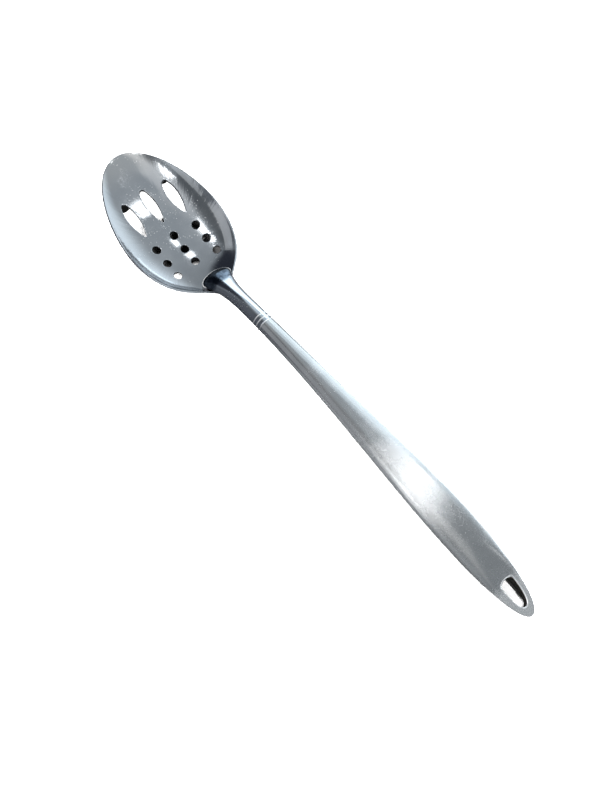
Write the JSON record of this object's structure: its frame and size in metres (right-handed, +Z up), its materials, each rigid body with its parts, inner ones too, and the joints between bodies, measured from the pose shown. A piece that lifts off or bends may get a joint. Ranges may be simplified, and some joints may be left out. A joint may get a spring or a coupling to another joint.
{
  "type": "slotted spoon",
  "caption": "Slotted serving spoon: a drilled and slotted oval bowl welded to a solid neck, on a hollow seamed handle with a lined hanging eye, all polished stainless steel",
  "frame": {"origin": "under the middle of the whole spoon, on the surface that it lies on", "axes": "+X along the spoon from the handle's eye to the tip of the bowl, +Z up out of the open side of the bowl, +Y across to its left"},
  "size_m": [0.3398, 0.0646, 0.0288],
  "materials": {
    "bowl_steel": "mirror polished stainless steel with fine scratches from use",
    "neck_steel": "polished stainless steel",
    "handle_steel": "bright satin stainless steel, worn and finely scratched",
    "weld_steel": "weld ground flush and brushed"
  },
  "bodies": {
    "root": {"bowl": "bowl_steel", "bowl_weld": "weld_steel", "neck_shank": "neck_steel", "neck_ring_weld": "weld_steel", "handle_upper_shell": "handle_steel", "handle_lower_shell": "handle_steel", "handle_seam_weld": "weld_steel", "hanging_eye_sleeve": "neck_steel"}
  },
  "joints": []
}
